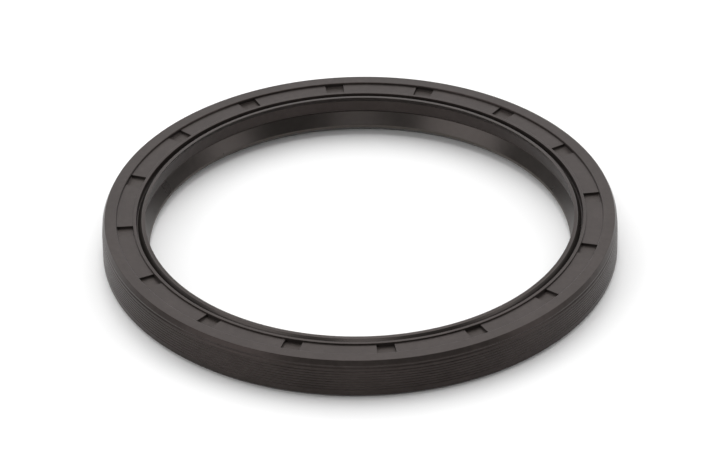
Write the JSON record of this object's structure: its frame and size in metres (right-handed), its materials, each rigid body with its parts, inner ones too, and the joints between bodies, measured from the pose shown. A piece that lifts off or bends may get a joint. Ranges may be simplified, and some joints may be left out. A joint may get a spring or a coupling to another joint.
{
  "type": "radial shaft seal",
  "caption": "Rubber-covered rotary shaft seal with a rilled outside, a dust lip on the air side and a spring-loaded sealing lip on the oil side.",
  "frame": {"origin": "on the seal's axis, at the oil-side end face that it rests on", "axes": "+Z along the seal's axis, towards the air side with the pockets and the dust lip; the rest pose has the oil side down"},
  "size_m": [0.12, 0.12, 0.01],
  "materials": {
    "elastomer": "moulded, satin, with glossy lips",
    "insert_steel": "phosphated, with a dark bonding coat",
    "spring_steel": "drawn wire, bright"
  },
  "bodies": {
    "root": {"seal_body": "elastomer", "insert_ring": "insert_steel", "garter_spring": "spring_steel"}
  },
  "joints": []
}
